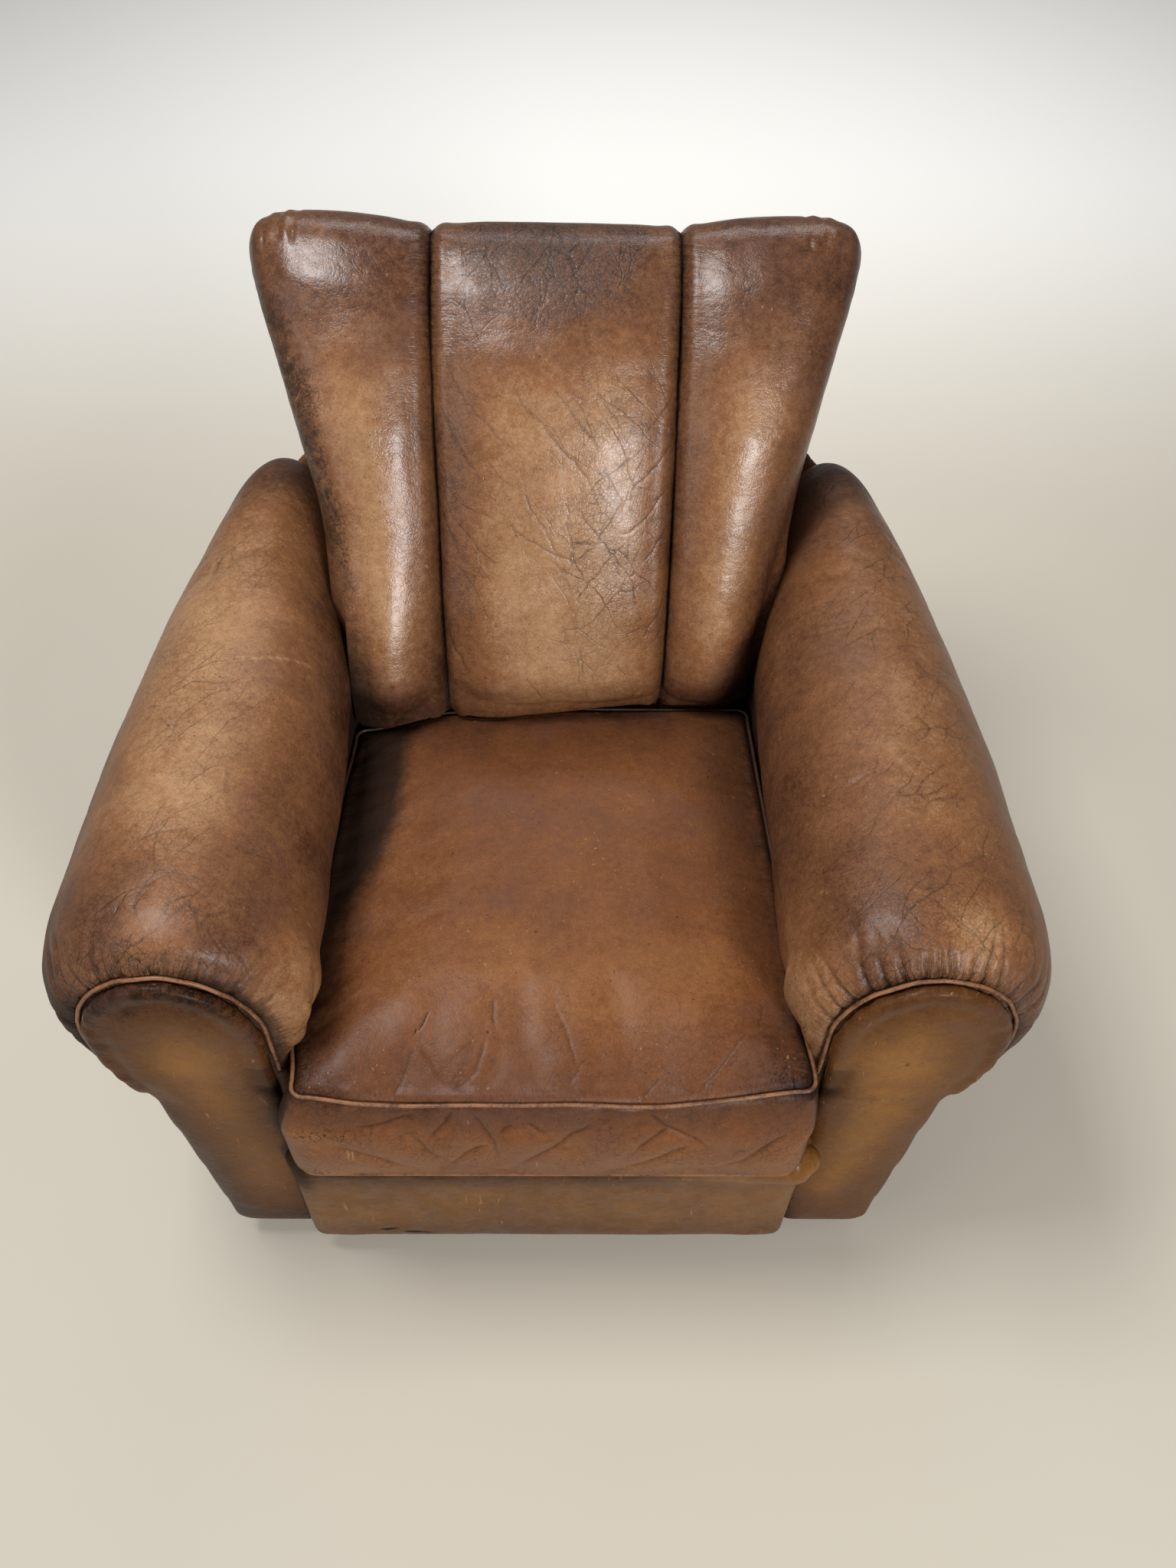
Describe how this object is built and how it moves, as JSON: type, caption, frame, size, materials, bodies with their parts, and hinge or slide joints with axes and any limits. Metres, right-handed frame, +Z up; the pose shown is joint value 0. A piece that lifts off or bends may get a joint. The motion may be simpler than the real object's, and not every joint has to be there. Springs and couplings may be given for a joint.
{
  "type": "club chair",
  "caption": "Low sprung club chair in worn brown leather with fat rolled arms, a fanned fluted back and one loose piped seat cushion.",
  "frame": {"origin": "on the floor, under the middle of the chair's bounding box", "axes": "+X across the chair to the right seen from the front, +Y from the front of the seat to the back, +Z up"},
  "size_m": [0.918, 0.854, 0.8345],
  "materials": {
    "brown_leather": "worn tan to dark brown hide, satin, creased and scuffed",
    "piping_leather": "lighter tan leather cord, satin, rubbed",
    "deck_cloth": "dark brown cotton platform cloth",
    "beech": "raw planed beech",
    "dark_wood": "dark stained, satin",
    "jute": "natural jute weave, matt",
    "spring_steel": "dull spring wire",
    "black_cotton": "thin black cotton, matt"
  },
  "bodies": {
    "root": {"arm_pad_left": "brown_leather", "arm_pad_right": "brown_leather", "outside_arm_left": "brown_leather", "outside_arm_right": "brown_leather", "arm_facing_left": "brown_leather", "arm_facing_right": "brown_leather", "back_flute_left": "brown_leather", "back_flute_middle": "brown_leather", "back_flute_right": "brown_leather", "outside_back": "brown_leather", "seat_cushion": "brown_leather", "front_border": "brown_leather", "cushion_piping_top": "piping_leather", "cushion_piping_bottom": "piping_leather", "facing_piping_left": "piping_leather", "facing_piping_right": "piping_leather", "seat_deck": "deck_cloth", "front_rail": "beech", "back_rail": "beech", "side_rail_left": "beech", "side_rail_right": "beech", "arm_stump_left": "beech", "arm_stump_right": "beech", "arm_rear_post_left": "beech", "arm_rear_post_right": "beech", "arm_rail_left": "beech", "arm_rail_right": "beech", "corner_block_front_left": "beech", "corner_block_front_right": "beech", "corner_block_back_left": "beech", "corner_block_back_right": "beech", "back_post_left": "beech", "back_post_right": "beech", "back_top_rail": "beech", "back_stuffing_rail": "beech", "foot_front_left": "dark_wood", "foot_front_right": "dark_wood", "foot_back_left": "dark_wood", "foot_back_right": "dark_wood", "seat_webbing_across_1": "jute", "seat_webbing_across_2": "jute", "seat_webbing_across_3": "jute", "seat_webbing_along_1": "jute", "seat_webbing_along_2": "jute", "seat_webbing_along_3": "jute", "back_webbing_1": "jute", "back_webbing_2": "jute", "back_webbing_3": "jute", "seat_canvas": "jute", "back_canvas": "jute", "seat_spring_1": "spring_steel", "seat_spring_2": "spring_steel", "seat_spring_3": "spring_steel", "seat_spring_4": "spring_steel", "seat_spring_5": "spring_steel", "seat_spring_6": "spring_steel", "seat_spring_7": "spring_steel", "seat_spring_8": "spring_steel", "seat_spring_9": "spring_steel", "dust_cover": "black_cotton"}
  },
  "joints": []
}
